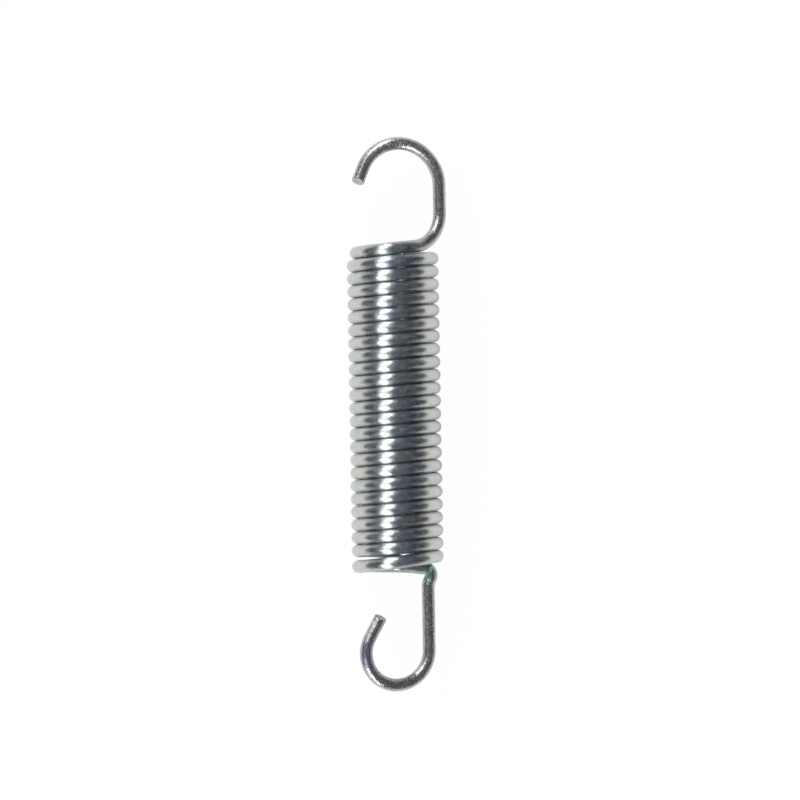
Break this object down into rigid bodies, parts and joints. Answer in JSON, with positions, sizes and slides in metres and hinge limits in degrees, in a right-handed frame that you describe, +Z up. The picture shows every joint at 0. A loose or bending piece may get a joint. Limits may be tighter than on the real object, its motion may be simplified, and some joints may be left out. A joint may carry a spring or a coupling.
{
  "type": "extension spring",
  "caption": "Close-wound extension spring of round zinc-plated wire, with an open hook at each end, for pulling two parts together.",
  "frame": {"origin": "centre of the bounding box in X and Y, on the surface that the spring lies on", "axes": "+Y along the coil toward the top hook, +X toward the side of the hooks' legs, +Z up from the surface"},
  "size_m": [0.0196, 0.1086, 0.0181],
  "materials": {
    "zinc_wire": "bright zinc plating over spring steel wire"
  },
  "bodies": {
    "root": {"spring": "zinc_wire"}
  },
  "joints": []
}
